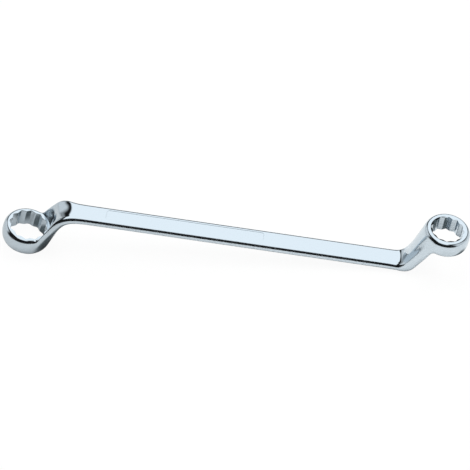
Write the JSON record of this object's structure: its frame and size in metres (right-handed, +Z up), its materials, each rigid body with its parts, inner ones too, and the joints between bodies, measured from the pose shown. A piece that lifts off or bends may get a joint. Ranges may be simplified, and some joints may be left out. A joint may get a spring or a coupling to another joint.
{
  "type": "ring spanner",
  "caption": "Double-ended deep-offset ring spanner with twelve-point rings on cranked necks, forged in one piece and chrome-plated.",
  "frame": {"origin": "centre of the bounding box, on the bench that the tool lies on", "axes": "+Z up, +X along the length from the large lower ring to the small upper ring, +Y across; the tool lies on its large ring and on the heel of the small ring's neck, so the shank slopes down towards +X by about 7 degrees"},
  "size_m": [0.3066, 0.0326, 0.0374],
  "materials": {
    "spanner_forging": "bright chrome plate on a drop-forged steel blank"
  },
  "bodies": {
    "root": {"spanner_forging": "spanner_forging"}
  },
  "joints": []
}
